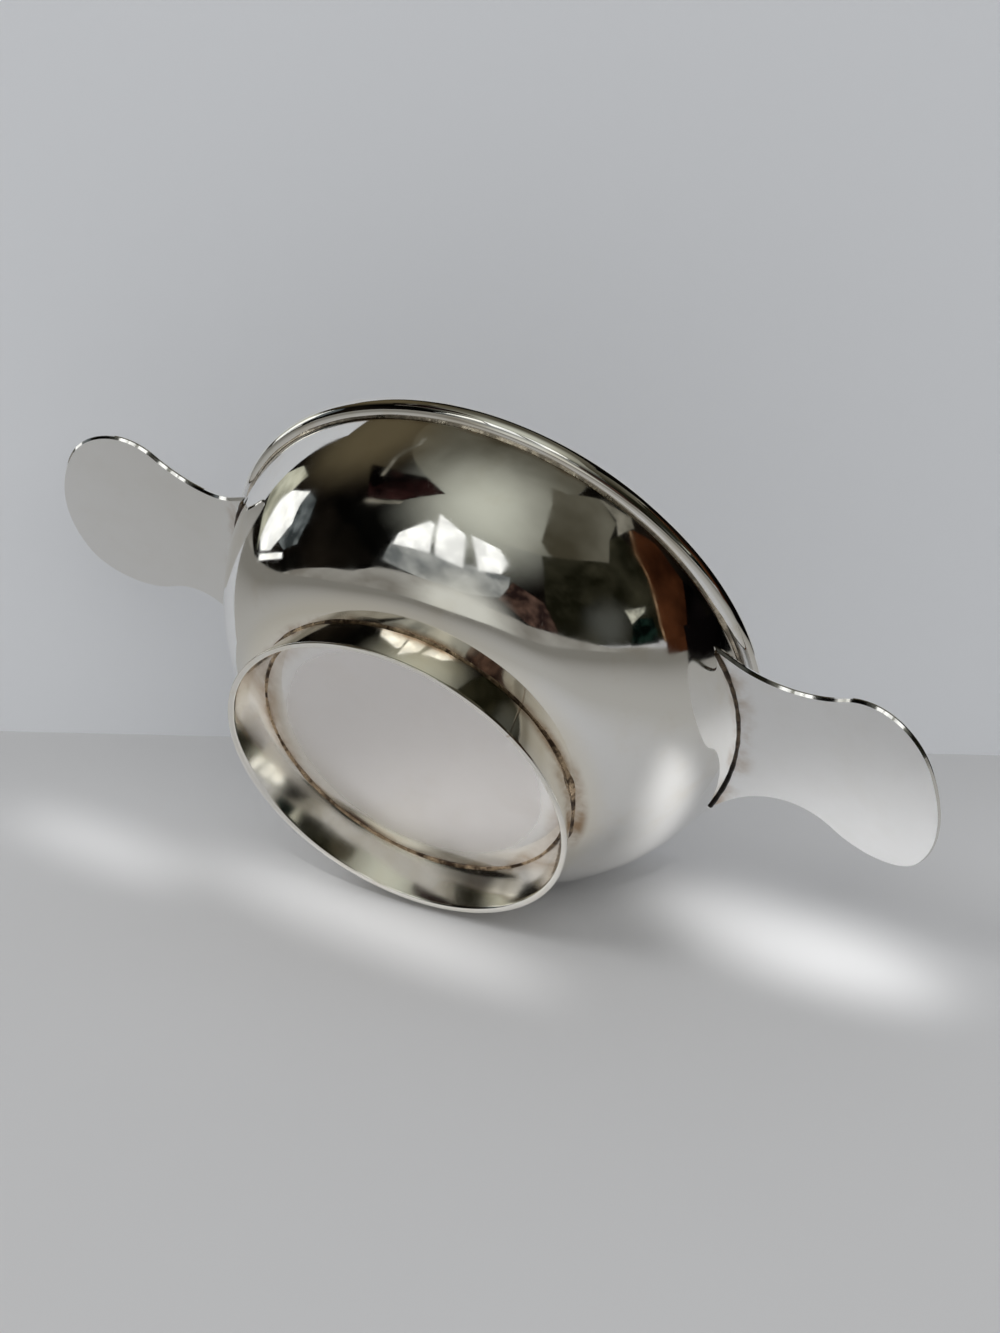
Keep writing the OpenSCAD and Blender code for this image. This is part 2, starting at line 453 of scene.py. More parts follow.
def calc(tree, operation, *values):
    made = node_in(tree, "ShaderNodeMath", operation=operation)
    for at, value in enumerate(values):
        feed(tree, value, made.inputs[at])
    return made.outputs["Value"]


def all_of(tree, mask, *others):
    """A mask that holds only where each of several holds."""
    for other in others:
        mask = calc(tree, "MULTIPLY", mask, other)
    return mask


def added(tree, value, mask, amount):
    """A value raised by an amount where a mask holds."""
    return calc(tree, "MULTIPLY_ADD", mask, amount, value)


def along(tree, way, axis):
    """How far a place lies along an axis."""
    made = node_in(tree, "ShaderNodeVectorMath", operation="DOT_PRODUCT")
    link(tree, way, made.inputs[0])
    made.inputs[1].default_value = axis
    return made.outputs["Value"]


def place_in(tree):
    return node_in(tree, "ShaderNodeTexCoord").outputs["Object"]


def noise(tree, place, scale, detail=2.0, rough=0.5):
    made = node_in(tree, "ShaderNodeTexNoise")
    made.inputs["Scale"].default_value = scale
    made.inputs["Detail"].default_value = detail
    made.inputs["Roughness"].default_value = rough
    link(tree, place, made.inputs["Vector"])
    return made.outputs["Fac"]


def between(tree, value, low, high, to_low=0.0, to_high=1.0, ease="SMOOTHSTEP"):
    """Carries a value from one range to another, smoothly unless told otherwise, held at both ends."""
    made = node_in(tree, "ShaderNodeMapRange", interpolation_type=ease)
    for key, number in (("From Min", low), ("From Max", high), ("To Min", to_low), ("To Max", to_high)):
        made.inputs[key].default_value = number
    feed(tree, value, made.inputs["Value"])
    return made.outputs["Result"]


def mixed(tree, factor, first, second):
    made = node_in(tree, "ShaderNodeMix", data_type="RGBA")
    feed(tree, factor, made.inputs["Factor"])
    feed(tree, first, made.inputs["A"])
    feed(tree, second, made.inputs["B"])
    return made.outputs["Result"]


def tinted(tree, colour, mask, share, tone):
    """A colour taken a share of the way to a tone where a mask holds."""
    return mixed(tree, calc(tree, "MULTIPLY", mask, share), colour, tone)


def show(tree, factor, first, second, output="ShaderNodeOutputMaterial"):
    """Joins two shaders, mixed by a factor, to the tree's output."""
    pick = node_in(tree, "ShaderNodeMixShader")
    link(tree, factor, pick.inputs["Fac"])
    link(tree, first, pick.inputs[1])
    link(tree, second, pick.inputs[2])
    link(tree, pick.outputs["Shader"], node_in(tree, output).inputs["Surface"])


def new_group(name, outputs):
    group = bpy.data.node_groups.new(name, "ShaderNodeTree")
    group.interface.new_socket("Place", in_out="INPUT", socket_type="NodeSocketVector")
    for output in outputs:
        kind = "NodeSocketVector" if output == "Turned" else "NodeSocketFloat"
        group.interface.new_socket(output, in_out="OUTPUT", socket_type=kind)
    return group, node_in(group, "NodeGroupInput").outputs["Place"], node_in(group, "NodeGroupOutput")


def round_group():
    """Distance from the bowl's axis, height and angle, and a place that follows the turned marks."""
    group, place, out = new_group("about_the_axis", ("Radius", "Height", "Angle", "Turned"))
    parts = node_in(group, "ShaderNodeSeparateXYZ")
    link(group, place, parts.inputs["Vector"])
    across = calc(group, "MULTIPLY", parts.outputs["X"], parts.outputs["X"])
    square = calc(group, "MULTIPLY_ADD", parts.outputs["Y"], parts.outputs["Y"], across)
    radius = calc(group, "SQRT", square)
    angle = calc(group, "ARCTAN2", parts.outputs["Y"], parts.outputs["X"])
    turned = node_in(group, "ShaderNodeCombineXYZ")
    link(group, radius, turned.inputs["X"])
    link(group, parts.outputs["Z"], turned.inputs["Y"])
    slow = calc(group, "SINE", angle)
    link(group, calc(group, "MULTIPLY", slow, 0.002), turned.inputs["Z"])
    link(group, radius, out.inputs["Radius"])
    link(group, parts.outputs["Z"], out.inputs["Height"])
    link(group, angle, out.inputs["Angle"])
    link(group, turned.outputs["Vector"], out.inputs["Turned"])
    return group


def scratch_group():
    """Fine stray scratches in three directions, with bare metal between them."""
    group, place, out = new_group("stray_scratches", ("Scratch",))
    total = None
    for turn, seed in ((0.5, 0.0), (1.9, 0.3), (2.8, 0.7)):
        lay = node_in(group, "ShaderNodeMapping")
        lay.inputs["Location"].default_value = (seed, seed * 2, seed * 3)
        lay.inputs["Rotation"].default_value = (0.12, 0.07, turn)
        lay.inputs["Scale"].default_value = (4600.0, 32.0, 900.0)
        link(group, place, lay.inputs["Vector"])
        line = between(group, noise(group, lay.outputs["Vector"], 1.0, 1.0), 0.7, 0.8)
        where = between(group, noise(group, place, 130.0 + 40.0 * seed, 1.0), 0.5, 0.62)
        line = calc(group, "MULTIPLY", line, where)
        total = line if total is None else calc(group, "MAXIMUM", total, line)
    link(group, total, out.inputs["Scratch"])
    return group


about = round_group()
scratches = scratch_group()


def grouped(tree, group, place):
    made = node_in(tree, "ShaderNodeGroup", node_tree=group)
    link(tree, place, made.inputs["Place"])
    return made.outputs


def start_metal(name):
    """A new material, its nodes, the place on the object and the distances about the bowl's axis."""
    material = new_material(name)
    tree = material.node_tree
    place = place_in(tree)
    return material, tree, place, grouped(tree, about, place)


def metal(material, colour, rough, relief, depth):
    """Joins the worked-out colour, roughness and relief to a metal shader."""
    tree = material.node_tree
    bump = node_in(tree, "ShaderNodeBump")
    bump.inputs["Strength"].default_value = 1.0
    bump.inputs["Distance"].default_value = depth
    link(tree, relief, bump.inputs["Height"])
    shader = node_in(tree, "ShaderNodeBsdfPrincipled")
    shader.inputs["Metallic"].default_value = 1.0
    link(tree, colour, shader.inputs["Base Color"])
    link(tree, rough, shader.inputs["Roughness"])
    link(tree, bump.outputs["Normal"], shader.inputs["Normal"])
    out = node_in(tree, "ShaderNodeOutputMaterial")
    link(tree, shader.outputs["BSDF"], out.inputs["Surface"])
    return material


BRIGHT = (0.93, 0.92, 0.895, 1)
WARM = (0.82, 0.75, 0.63, 1)
PINK = (0.86, 0.82, 0.8, 1)
GILT = (0.93, 0.86, 0.7, 1)
DULL = (0.74, 0.65, 0.58, 1)
BROWN = (0.42, 0.29, 0.18, 1)
SATIN = (0.91, 0.91, 0.91, 1)
WARM_SATIN = (0.858, 0.848, 0.822, 1)
SOLDER = (0.46, 0.34, 0.22, 1)
DARK_SOLDER = (0.07, 0.045, 0.03, 1)
# Painted shade for the beads under the lugs, and a painted shadow for the crevice at their far ends.
PAINTED_BEAD_SHADE = (0.04, 0.03, 0.025, 1)
PAINTED_CREVICE_SHADOW = (0.01, 0.008, 0.007, 1)


def bowl_silver():
    """Raised and polished sheet: mirror walls, a duller base within the foot, stain beside the seams."""
    material, tree, place, axis = start_metal("bowl_silver")
    radius = axis["Radius"]
    height = axis["Height"]
    scratch = grouped(tree, scratches, place)["Scratch"]
    patch = noise(tree, place, 120.0, 4.0, 0.6)
    under_base = between(tree, height, 7.2 * MM, 6.9 * MM)
    flat = all_of(tree, under_base, between(tree, radius, 22.6 * MM, 20.6 * MM))
    ring = all_of(tree, under_base, between(tree, radius, 21.4 * MM, 25.0 * MM))
    past_foot = between(tree, radius, 25.4 * MM, 25.8 * MM)
    low_wall = between(tree, height, 10.6 * MM, 9.6 * MM)
    by_foot = all_of(tree, between(tree, radius, 27.6 * MM, 26.3 * MM), past_foot,
                     between(tree, height, 8.9 * MM, 8.3 * MM))
    run = calc(tree, "ABSOLUTE", calc(tree, "ADD", axis["Angle"], -0.03))
    smear = all_of(tree, between(tree, run, 0.5, 0.2), between(tree, radius, 28.6 * MM, 27.2 * MM),
                   past_foot, low_wall)
    by_rim = all_of(tree, between(tree, height, 31.2 * MM, 32.4 * MM),
                    between(tree, radius, 42.5 * MM, 42.9 * MM))
    stain = calc(tree, "MAXIMUM", calc(tree, "MAXIMUM", by_foot, smear), by_rim)
    stain = calc(tree, "MAXIMUM", stain, calc(tree, "MULTIPLY", ring, 0.7))
    stain = all_of(tree, stain, between(tree, patch, 0.35, 0.7))
    colour = mixed(tree, between(tree, patch, 0.5, 0.8, 0.0, 0.35), BRIGHT, WARM)
    gilt = all_of(tree, between(tree, radius, 31.5 * MM, 27.5 * MM, 0.0, 0.5), past_foot, low_wall)
    colour = mixed(tree, gilt, colour, GILT)
    colour = tinted(tree, colour, flat, 0.75, PINK)
    colour = tinted(tree, colour, ring, 0.55, DULL)
    colour = mixed(tree, stain, colour, BROWN)
    rings = between(tree, noise(tree, axis["Turned"], 1500.0, 3.0, 0.6), 0.35, 0.7, 0.25, 0.28)
    rough = between(tree, noise(tree, place, 260.0, 3.0), 0.3, 0.75, 0.035, 0.1)
    rough = added(tree, rough, flat, rings)
    rough = added(tree, rough, stain, 0.15)
    rough = added(tree, rough, scratch, 0.1)
    turned = noise(tree, axis["Turned"], 1800.0, 3.0, 0.6)
    wave = noise(tree, place, 55.0, 1.0)
    marks = added(tree, 0.005, flat, 0.006)
    relief = added(tree, wave, turned, marks)
    relief = added(tree, relief, scratch, -0.0015)
    return metal(material, colour, rough, relief, 0.00026)


def band_silver():
    """Drawn wire and strip: polished, a little hazed, stained where the solder ran."""
    material, tree, place, axis = start_metal("band_silver")
    height = axis["Height"]
    scratch = grouped(tree, scratches, place)["Scratch"]
    patch = noise(tree, place, 150.0, 4.0, 0.6)
    on_foot = between(tree, height, 9.0 * MM, 8.0 * MM)
    foot_top = all_of(tree, between(tree, height, 5.7 * MM, 6.7 * MM), on_foot)
    stain = all_of(tree, foot_top, between(tree, patch, 0.42, 0.72))
    joint = calc(tree, "ABSOLUTE", calc(tree, "ADD", axis["Angle"], math.radians(46.0)))
    strip_end = all_of(tree, between(tree, joint, 0.008, 0.003), on_foot)
    colour = mixed(tree, between(tree, patch, 0.42, 0.75, 0.0, 0.5), BRIGHT, WARM)
    colour = tinted(tree, colour, on_foot, 0.22, GILT)
    colour = tinted(tree, colour, stain, 0.8, BROWN)
    colour = tinted(tree, colour, strip_end, 0.5, BROWN)
    slope = added(tree, axis["Radius"], height, 0.32)
    inside = all_of(tree, between(tree, slope, 28.0 * MM, 27.6 * MM), on_foot)
    rough = between(tree, noise(tree, place, 300.0, 3.0), 0.3, 0.75, 0.03, 0.075)
    rough = added(tree, rough, stain, 0.2)
    rough = added(tree, rough, scratch, 0.12)
    rough = added(tree, rough, inside, 0.07)
    turned = noise(tree, axis["Turned"], 3600.0, 3.0, 0.6)
    wave = noise(tree, place, 75.0, 1.0)
    relief = added(tree, wave, turned, 0.002)
    relief = added(tree, relief, scratch, -0.002)
    relief = added(tree, relief, strip_end, -0.03)
    return metal(material, colour, rough, relief, 0.0002)


def lug_silver():
    """Flat sheet rubbed to an even satin, browned where it meets the bowl, with burnished filed edges that
    are smoother and painted lighter as a highlight.
    """
    material, tree, place, axis = start_metal("lug_silver")
    patch = noise(tree, place, 140.0, 4.0, 0.6)
    by_bowl = between(tree, axis["Radius"], 46.5 * MM, 43.2 * MM)
    stain = all_of(tree, by_bowl, between(tree, patch, 0.4, 0.75))
    # The filed edges, found by how far the surface turns from the sheet's faces: burnished smoother, and
    # painted lighter as a highlight.
    face = node_in(tree, "ShaderNodeSeparateXYZ")
    link(tree, node_in(tree, "ShaderNodeNewGeometry").outputs["Normal"], face.inputs["Vector"])
    edge = between(tree, calc(tree, "ABSOLUTE", face.outputs["Z"]), 0.78, 0.6)
    colour = mixed(tree, between(tree, patch, 0.4, 0.75, 0.0, 0.3), SATIN, WARM_SATIN)
    colour = tinted(tree, colour, stain, 0.7, BROWN)
    colour = tinted(tree, colour, edge, 0.8, BRIGHT)
    rough = between(tree, noise(tree, place, 420.0, 4.0), 0.25, 0.75, 0.29, 0.35)
    rough = added(tree, rough, edge, -0.22)
    grain = noise(tree, place, 900.0, 3.0, 0.6)
    wave = noise(tree, place, 45.0, 1.0)
    return metal(material, colour, rough, added(tree, wave, grain, 0.006), 0.00014)


def seam_solder():
    """Silver solder, brown with age, with painted shade that darkens the beads under the lugs nearly to black
    towards their far ends.
    """
    material, tree, place, axis = start_metal("seam_solder")
    patch = noise(tree, place, 420.0, 4.0, 0.65)
    parts = node_in(tree, "ShaderNodeSeparateXYZ")
    link(tree, place, parts.inputs["Vector"])
    by_lug = between(tree, axis["Radius"], 41.8 * MM, 42.2 * MM)
    under_lug = all_of(tree, by_lug, between(tree, axis["Height"], 32.0 * MM, 31.6 * MM))
    crevice_shadow_mask = all_of(tree, under_lug, between(tree, parts.outputs["Y"], 2.0 * MM, 9.0 * MM))
    clean = all_of(tree, by_lug, between(tree, axis["Height"], 31.6 * MM, 32.0 * MM))
    clean = all_of(tree, clean, between(tree, patch, 0.35, 0.6, 0.9, 0.4))
    colour = mixed(tree, between(tree, patch, 0.4, 0.62), SOLDER, DARK_SOLDER)
    colour = mixed(tree, clean, colour, WARM)
    # Painted shade: the beads under the lugs are darkened nearly to black, most of all towards their far
    # ends, where the crevice under each lug lies.
    colour = tinted(tree, colour, under_lug, 0.8, PAINTED_BEAD_SHADE)
    colour = tinted(tree, colour, crevice_shadow_mask, 0.93, PAINTED_CREVICE_SHADOW)
    rough = between(tree, patch, 0.3, 0.7, 0.22, 0.5)
    relief = noise(tree, place, 1300.0, 3.0, 0.6)
    return metal(material, colour, rough, relief, 0.00012)


finishes = ((bowl_silver(), (bowl,)),
            (band_silver(), (wire, foot)),
            (lug_silver(), (left_lug, right_lug)),
            (seam_solder(), (rim_seam, outer_seam, inner_seam, left_seam, right_seam)))
for finish, pieces in finishes:
    for piece in pieces:
        piece.data.materials.append(finish)

# The shelf and the wall behind it, as they lie about the tipped bowl, which rests on its wall.
UP = Vector((-0.16161073, -0.88077702, 0.44509978)).normalized()
AWAY = Vector((-0.38502798, 0.47155988, 0.79333772)).normalized()
RIGHT = Vector((0.90864483, 0.04316399, 0.41533293)).normalized()
FLOOR = -26.88 * MM
WALL_AWAY = 85.0 * MM
SHADE_FROM = 36.0 * MM
SHELF_REACH = 1.5
WALL_LEFT = -0.084
WALL_RIGHT = 0.16
WALL_TOP = 0.146


def spot(right, away, up):
    """A place by its distance to the right, away from the camera and above the shelf."""
    return RIGHT * right + AWAY * away + UP * (FLOOR + up)


def toward(azimuth, elevation):
    """A direction as seen from the bowl: azimuth 0 is towards the camera, positive to the right."""
    azimuth = math.radians(azimuth)
    elevation = math.radians(elevation)
    level = -math.cos(azimuth) * AWAY + math.sin(azimuth) * RIGHT
    return level * math.cos(elevation) + UP * math.sin(elevation)


def stage_mesh(name, bm, material):
    mesh = bpy.data.meshes.new(name)
    bm.to_mesh(mesh)
    bm.free()
    sheet = bpy.data.objects.new(name, mesh)
    bpy.context.scene.collection.objects.link(sheet)
    sheet.data.materials.append(material)
    return sheet


def stage_sheet(name, corners, material):
    bm = bmesh.new()
    bm.faces.new([bm.verts.new(c) for c in corners])
    return stage_mesh(name, bm, material)


def shade(colour, share):
    return [c * share for c in colour] + [1]


def plain_surface(name, colour, painted_far_shade=1.0):
    """A pale plain surface with painted shade towards the wall, and clear from behind so that it hides
    nothing.
    """
    material = new_material(name)
    tree = material.node_tree
    place = place_in(tree)
    tone = mixed(tree, noise(tree, place, 9.0, 4.0), shade(colour, 0.97), shade(colour, 1.03))
    # Painted shade: the colour darkens from SHADE_FROM out to the wall, down to the far share given.
    far = between(tree, along(tree, place, AWAY), SHADE_FROM, WALL_AWAY)
    shader = node_in(tree, "ShaderNodeBsdfPrincipled")
    shader.inputs["Roughness"].default_value = 0.6
    shader.inputs["Specular IOR Level"].default_value = 0.2
    link(tree, mixed(tree, far, tone, shade(colour, painted_far_shade)), shader.inputs["Base Color"])
    behind = node_in(tree, "ShaderNodeNewGeometry").outputs["Backfacing"]
    clear = node_in(tree, "ShaderNodeBsdfTransparent").outputs["BSDF"]
    show(tree, behind, shader.outputs["BSDF"], clear)
    return material


# The shelf gets painted shade towards the wall, down to 0.84 of its colour.
shelf_look = plain_surface("shelf_paint", (0.74, 0.74, 0.74), 0.84)
wall_look = plain_surface("wall_paint", (0.796, 0.811, 0.832))
stage_sheet("shelf", [spot(-SHELF_REACH, -SHELF_REACH, 0), spot(SHELF_REACH, -SHELF_REACH, 0),
                      spot(SHELF_REACH, WALL_AWAY, 0), spot(-SHELF_REACH, WALL_AWAY, 0)], shelf_look)
stage_sheet("wall", [spot(WALL_LEFT, WALL_AWAY, 0), spot(WALL_RIGHT, WALL_AWAY, 0),
                     spot(WALL_RIGHT, WALL_AWAY, WALL_TOP), spot(WALL_LEFT, WALL_AWAY, WALL_TOP)], wall_look)


def glow_material(name):
    material = new_material(name)
    material.cycles.emission_sampling = "NONE"
    return material, material.node_tree


def glow(name, dark, light, grain):
    """A surface seen only in the silver, mottled between two tones."""
    material, tree = glow_material(name)
    mottle = between(tree, noise(tree, place_in(tree), grain, 3.0), 0.4, 0.7, ease="LINEAR")
    lit = node_in(tree, "ShaderNodeEmission")
    link(tree, mixed(tree, mottle, dark, light), lit.inputs["Color"])
    out = node_in(tree, "ShaderNodeOutputMaterial")
    link(tree, lit.outputs["Emission"], out.inputs["Surface"])
    return material


def unseen(sheet):
    """Leaves a card to the silver alone: the eye and the lamps pass it by."""
    sheet.visible_camera = False
    sheet.visible_shadow = False
    sheet.visible_diffuse = False


# The cards stand about this point, and the low ones reach down to just above the shelf.
BOWL_MIDDLE = spot(0, 0, 0.0466)
CARD_FOOT = -0.0456


def card(name, corners, distance, material):
    """A flat card, its corners given by azimuth and elevation as the bowl sees them."""
    unseen(stage_sheet(name, [BOWL_MIDDLE + toward(*c) * distance for c in corners], material))


def screen(name, azimuths, elevations, distance, material):
    """A curved card about the bowl, swept up and then round."""
    bm = bmesh.new()
    first = bm.verts.new(BOWL_MIDDLE + toward(azimuths[0], elevations[0]) * distance)
    climb = math.radians(elevations[1] - elevations[0])
    sweep = math.radians(azimuths[1] - azimuths[0])
    swing(bm, [first], BOWL_MIDDLE, toward(azimuths[0] + 90, 0), -climb, 16)
    swing(bm, bm.verts[:] + bm.edges[:], BOWL_MIDDLE, UP, sweep, 64)
    unseen(stage_mesh(name, bm, material))


def edge_of(bm, places, distance):
    """Draws a line of directions about the bowl and widens it, giving back the new edge to be moved."""
    last = bm.verts.new(BOWL_MIDDLE + toward(*places[0]) * distance)
    for place in places[1:]:
        last = next_point(bm, last, BOWL_MIDDLE + toward(*place) * distance)
    return corners_of(bmesh.ops.extrude_edge_only(bm, edges=bm.edges[:])["geom"])


def ribbon(name, places, shift, distance, material):
    """A narrow card along a line of directions, as wide as its shift in azimuth and elevation."""
    bm = bmesh.new()
    moved = edge_of(bm, places, distance)
    azimuth, elevation = places[0]
    across = toward(azimuth + shift[0], elevation + shift[1]) - toward(azimuth, elevation)
    bmesh.ops.translate(bm, verts=moved, vec=across * distance)
    unseen(stage_mesh(name, bm, material))


def skyline(name, tops, distance, material):
    """A low curved card whose top edge rises and falls, for what stands beyond the shelf."""
    bm = bmesh.new()
    for v in edge_of(bm, tops, distance):
        drop = (v.co - BOWL_MIDDLE).dot(UP) - CARD_FOOT
        v.co -= UP * drop
    unseen(stage_mesh(name, bm, material))


def from_bowl(tree):
    """The way from the bowl's middle to a place on a card."""
    apart = node_in(tree, "ShaderNodeVectorMath", operation="SUBTRACT")
    link(tree, place_in(tree), apart.inputs[0])
    apart.inputs[1].default_value = BOWL_MIDDLE
    return apart.outputs["Vector"]


def faded(tree, strength, tone):
    """Joins a glow of one tone, clear where its strength is nought."""
    lit = node_in(tree, "ShaderNodeEmission")
    feed(tree, tone, lit.inputs["Color"])
    clear = node_in(tree, "ShaderNodeBsdfTransparent").outputs["BSDF"]
    show(tree, strength, clear, lit.outputs["Emission"])


def soft_card(name, azimuth, elevation, core, spread, tone, distance):
    """A glow with a soft edge, full within one angle of its middle and gone by another."""
    ahead_of = toward(azimuth, elevation)
    material, tree = glow_material(name)
    way = node_in(tree, "ShaderNodeVectorMath", operation="NORMALIZE")
    link(tree, from_bowl(tree), way.inputs[0])
    way = way.outputs["Vector"]
    angle = calc(tree, "ARCCOSINE", along(tree, way, ahead_of))
    # An uneven edge: up to a tenth of a radian of noise, with half of that taken as the middle.
    uneven = 0.1
    angle = added(tree, angle, noise(tree, way, 5.0, 3.0), uneven)
    strength = between(tree, angle, math.radians(spread) + uneven / 2, math.radians(core) + uneven / 2)
    faded(tree, strength, tone)
    across = toward(azimuth + 90, 0)
    upward = across.cross(ahead_of)
    reach = distance * math.tan(math.radians(spread) * 1.2)
    middle = BOWL_MIDDLE + ahead_of * distance
    square = ((-1, -1), (1, -1), (1, 1), (-1, 1))
    unseen(stage_sheet(name, [middle + (across * a + upward * b) * reach for a, b in square], material))


def far_shelf():
    """The shelf as the silver sees it farther out, where less of the window's light falls."""
    material, tree = glow_material("far_shelf")
    way = from_bowl(tree)
    sideways = calc(tree, "POWER", calc(tree, "ABSOLUTE", along(tree, way, RIGHT)), 2.0)
    depth = calc(tree, "POWER", calc(tree, "ABSOLUTE", along(tree, way, AWAY)), 2.0)
    out = calc(tree, "SQRT", calc(tree, "ADD", sideways, depth))
    tone = mixed(tree, between(tree, out, 0.1, 0.36), (0.36, 0.355, 0.338, 1), (0.18, 0.174, 0.156, 1))
    faded(tree, between(tree, out, 0.055, 0.12), tone)
    bm = bmesh.new()
    start = toward(-165, 0)
    foot_point = BOWL_MIDDLE + UP * (FLOOR + 1.0 * MM - BOWL_MIDDLE.dot(UP))
    near = bm.verts.new(foot_point + start * 0.05)
    next_point(bm, near, foot_point + start * 0.67)
    swing(bm, bm.verts[:] + bm.edges[:], foot_point, UP, math.radians(277), 72)
    unseen(stage_mesh("far_shelf", bm, material))


# The room that the silver mirrors.
dim_room = glow("dim_room", (0.001, 0.001, 0.0008, 1), (0.009, 0.007, 0.005, 1), 1.1)
ceiling = glow("ceiling", (0.045, 0.04, 0.026, 1), (0.12, 0.115, 0.09, 1), 0.9)
dim_floor = glow("dim_floor", (0.17, 0.16, 0.14, 1), (0.3, 0.295, 0.27, 1), 5.0)
pane = glow("window_pane", (0.85, 0.86, 0.84, 1), (1.4, 1.42, 1.38, 1), 6.0)
sill = glow("window_sill", (0.13, 0.14, 0.14, 1), (0.42, 0.43, 0.41, 1), 4.5)
grey_blue = glow("grey_curtain", (0.03, 0.036, 0.038, 1), (0.2, 0.225, 0.23, 1), 6.0)
pale_reveal = glow("pale_reveal", (0.2, 0.2, 0.15, 1), (0.55, 0.55, 0.44, 1), 5.0)
brown_door = glow("brown_door", (0.014, 0.0045, 0.002, 1), (0.062, 0.021, 0.008, 1), 2.4)
door_wood = glow("door_wood", (0.11, 0.06, 0.03, 1), (0.3, 0.2, 0.12, 1), 9.0)
black_door = glow("dark_doorway", (0.0005, 0.0005, 0.0005, 1), (0.004, 0.003, 0.003, 1), 3.0)
brown_seat = glow("brown_seat", (0.014, 0.008, 0.007, 1), (0.1, 0.06, 0.045, 1), 9.0)
red_folds = glow("red_folds", (0.001, 0.0008, 0.0008, 1), (0.026, 0.01, 0.009, 1), 4.0)
olive_wall = glow("olive_wall", (0.006, 0.006, 0.003, 1), (0.034, 0.032, 0.02, 1), 2.2)
pale_frame = glow("pale_frame", (0.1, 0.095, 0.075, 1), (0.28, 0.265, 0.22, 1), 6.0)
pale_chair = glow("pale_chair", (0.16, 0.16, 0.13, 1), (0.6, 0.6, 0.5, 1), 12.0)
green_cloth = glow("green_cloth", (0.001, 0.002, 0.0015, 1), (0.008, 0.02, 0.015, 1), 12.0)

# Ceiling and walls.
screen("room_screen", (-180, 180), (-14, 60), 2.2, dim_room)
screen("ceiling_screen", (-180, 180), (60, 89.9), 2.1, ceiling)
card("ceiling_slope", [(-20, 44), (-3, 40), (16, 37), (33, 35), (49, 32), (57, 40), (70, 44), (76, 54),
                       (56, 62), (20, 76), (-10, 72)], 1.9, ceiling)
card("olive_wall", [(10, 2), (36, -3), (66, -3), (65, 5), (66, 14), (68, 24), (69, 32), (66, 40), (57, 40),
                    (49, 32), (33, 35), (16, 37)], 1.8, olive_wall)
soft_card("ceiling_glow", -16, 56, 0, 43, (0.5, 0.51, 0.44, 1), 1.6)
soft_card("khaki_corner", -126, 46, 6, 30, (0.09, 0.073, 0.042, 1), 1.6)

# The windows in front and at the left.
card("sill", [(-57, 16), (-38, 13), (-20, 12), (-6, 13), (-3, 24), (-24, 26), (-56, 26)], 1.4, sill)
card("left_pane", [(-55, 25), (-38, 27), (-40, 40), (-43, 41), (-55, 31)], 1.3, pane)
card("middle_pane", [(-36, 27), (-24, 24), (-25, 40), (-40, 46)], 1.3, pane)
card("right_pane", [(-17, 24), (-7, 25), (-3, 31), (-6, 37), (-22, 41)], 1.3, pane)
card("side_window", [(-120, -2), (-113, 0), (-110, 5), (-107, 12), (-110, 18), (-111, 23), (-122, 16),
                     (-125, 11), (-125, 5), (-124, 0)], 1.2, pane)
card("side_reveal", [(-123, -3), (-124, 0), (-125, 5), (-125, 11), (-122, 16), (-121, 23), (-130, 20),
                     (-136, 12), (-139, 7), (-133, 4), (-127, 1)], 1.2, pale_reveal)
card("side_bar", [(-120, -3), (-119, -4.5), (-103, 0), (-104, 2)], 1.19, pane)
card("curtain", [(-110, 4), (-104, 3), (-97, 8), (-98, 18), (-103, 24), (-111, 23), (-110, 18),
                 (-107, 12)], 1.2, grey_blue)
card("red_folds", [(-102, 46), (-83, 54), (-70, 60), (-46, 58), (-66, 45), (-81, 38)], 1.3, red_folds)
ribbon("grey_strip", [(-82, 38), (-74, 41), (-65, 45)], (0.0, -2.2), 1.25, pale_frame)
ribbon("pale_rail", [(-90, 47), (-95, 51), (-101, 54), (-107, 58), (-112, 62), (-120, 63)], (1.2, 0.9),
       1.25, pale_frame)

# The door at the right and what stands before it.
card("door_leaf", [(66, -3), (76, -7), (81, 6), (87, 16), (84, 24), (83, 31), (77, 39), (69, 32), (68, 24),
                   (66, 14), (65, 5)], 1.2, brown_door)
ribbon("door_edge", [(66, -3), (65, 5), (66, 14), (68, 24), (69, 32), (76, 39)], (-1.1, 0.0), 1.19, door_wood)
card("doorway", [(76, -7), (86, -12), (97, -13), (99, -4), (94, 3), (91, 12), (87, 16), (81, 6)], 1.2,
     black_door)
card("door_frame", [(65, 40), (79, 39), (84, 42), (76, 54), (73, 45)], 1.2, pale_frame)
card("brown_seat", [(-9, 12), (2, 3), (15, 1), (11, 14), (-2, 22)], 1.2, brown_seat)
soft_card("grey_stool", 38, 7, 2, 14, (0.06, 0.062, 0.055, 1), 1.25)
card("pale_chair", [(47, 13), (59, 13), (57, 11), (49, 7)], 1.2, pale_chair)
card("green_cloth", [(47, -2), (62, -3), (61, 8), (50, 9)], 1.21, green_cloth)

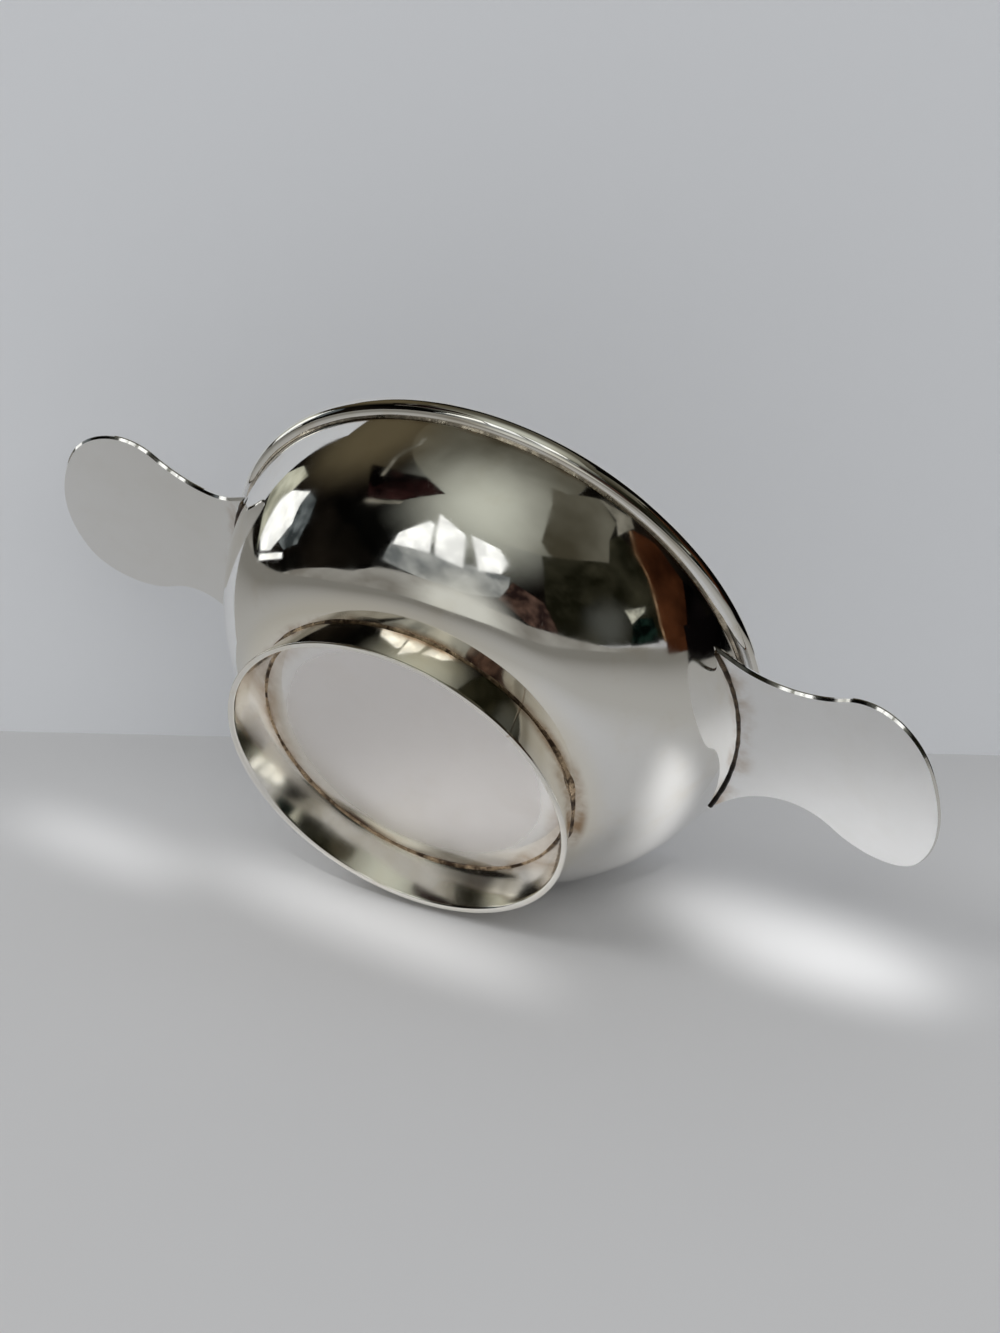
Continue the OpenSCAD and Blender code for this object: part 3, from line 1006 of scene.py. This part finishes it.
# The floor beyond the shelf, the shelf's dark end and the shelf itself.
skyline("floor_line", [(-155, 3), (-138, 0), (-124, -6), (-113, -9), (-103, -5), (-90, 0), (-78, 4),
                       (-67, 6), (-58, 12), (-48, 14), (-37, 14), (-27, 14), (-12, 7), (2, 3), (14, 2),
                       (25, 0), (37, -2), (46, -2), (65, -4), (76, -7), (86, -11), (96, -12),
                       (110, -12)], 0.66, dim_floor)
skyline("door_foot", [(66.5, -1), (72, -1), (79, -1)], 0.45, brown_door)
skyline("shelf_end", [(78, 3), (88, 3), (98, 3), (112, 3)], 0.29, black_door)
soft_card("lit_table", -25, 0, 8, 27, (0.58, 0.58, 0.53, 1), 0.5)
far_shelf()

# Lamps. The pools on the shelf come from narrow ones that hang a little way off.
POOL_AWAY = 0.5
POOL_CLIMB = 38
POOL_SOFT = 6.0 * MM


def hang(name, light, power, place, out):
    """Hangs a lamp that shines back along the way out, and that the silver doesn't mirror."""
    light.energy = power
    lamp = bpy.data.objects.new(name, light)
    lamp.location = place
    lamp.rotation_mode = "QUATERNION"
    lamp.rotation_quaternion = out.to_track_quat("Z", "Y")
    lamp.visible_glossy = False
    bpy.context.scene.collection.objects.link(lamp)
    return lamp


def soft_light(name, azimuth, elevation, distance, size, power):
    light = bpy.data.lights.new(name, "AREA")
    light.shape = "DISK"
    light.size = size
    out = toward(azimuth, elevation)
    hang(name, light, power, BOWL_MIDDLE + out * distance, out)


def light_pool(name, place, wide, deep, power):
    """A soft pool of light on the shelf, thrown back by the silver in the photograph."""
    light = bpy.data.lights.new(name, "SPOT")
    light.spot_size = 2 * math.atan(wide / POOL_AWAY)
    light.spot_blend = 1.0
    light.shadow_soft_size = POOL_SOFT
    out = toward(0, POOL_CLIMB)
    lamp = hang(name, light, power, place + out * POOL_AWAY, out)
    lamp.scale = (1.0, deep / wide, 1.0)


soft_light("soft_key", -60, 50, 1.6, 0.8, 5.6)
soft_light("soft_fill", 10, 35, 2.0, 1.6, 8.4)
light_pool("left_pool", spot(-0.049, 0.0355, 0), 0.024, 0.006, 5.0)
light_pool("middle_pool", spot(-0.003, 0.0085, 0), 0.04, 0.0065, 7.0)
light_pool("right_pool", spot(0.062, 0.0045, 0), 0.03, 0.0105, 9.5)

# A pale room for the eye and the silver, and a softer one that lights the shelf.
world = bpy.data.worlds.new("room")
bpy.context.scene.world = world
world.use_nodes = True
tree = world.node_tree
tree.nodes.clear()
ambient = node_in(tree, "ShaderNodeBackground")
ambient.inputs["Color"].default_value = (0.36, 0.365, 0.375, 1)
pale = node_in(tree, "ShaderNodeBackground")
pale.inputs["Color"].default_value = (0.48, 0.485, 0.5, 1)
seen = node_in(tree, "ShaderNodeLightPath")
shown = calc(tree, "MAXIMUM", seen.outputs["Is Camera Ray"], seen.outputs["Is Glossy Ray"])
shown = calc(tree, "MAXIMUM", shown, seen.outputs["Is Transmission Ray"])
show(tree, shown, ambient.outputs["Background"], pale.outputs["Background"], "ShaderNodeOutputWorld")

# Camera as the photograph was taken: its focal length in pixels, against the photograph's longer side.
SENSOR = 36.0
FOCAL = 2800.0
LONG_SIDE = 1333.0
camera_data = bpy.data.cameras.new("camera")
camera_data.sensor_width = SENSOR
camera_data.lens = SENSOR * FOCAL / LONG_SIDE
camera_data.clip_start = 0.01
camera_data.clip_end = 20.0
camera = bpy.data.objects.new("camera", camera_data)
camera_place = Vector((135.982, -319.875, -227.407)) * MM
across = Vector((0.90144319, 0.02687642, 0.43206231))
down = Vector((0.30577421, 0.66697256, -0.67944811))
ahead = Vector((-0.30643483, 0.74459738, 0.59301976))
camera_turn = Matrix((across, -down, -ahead)).transposed()
camera.matrix_world = Matrix.Translation(camera_place) @ camera_turn.to_4x4()
bpy.context.scene.collection.objects.link(camera)
bpy.context.scene.camera = camera
bpy.context.scene.view_settings.view_transform = "Standard"
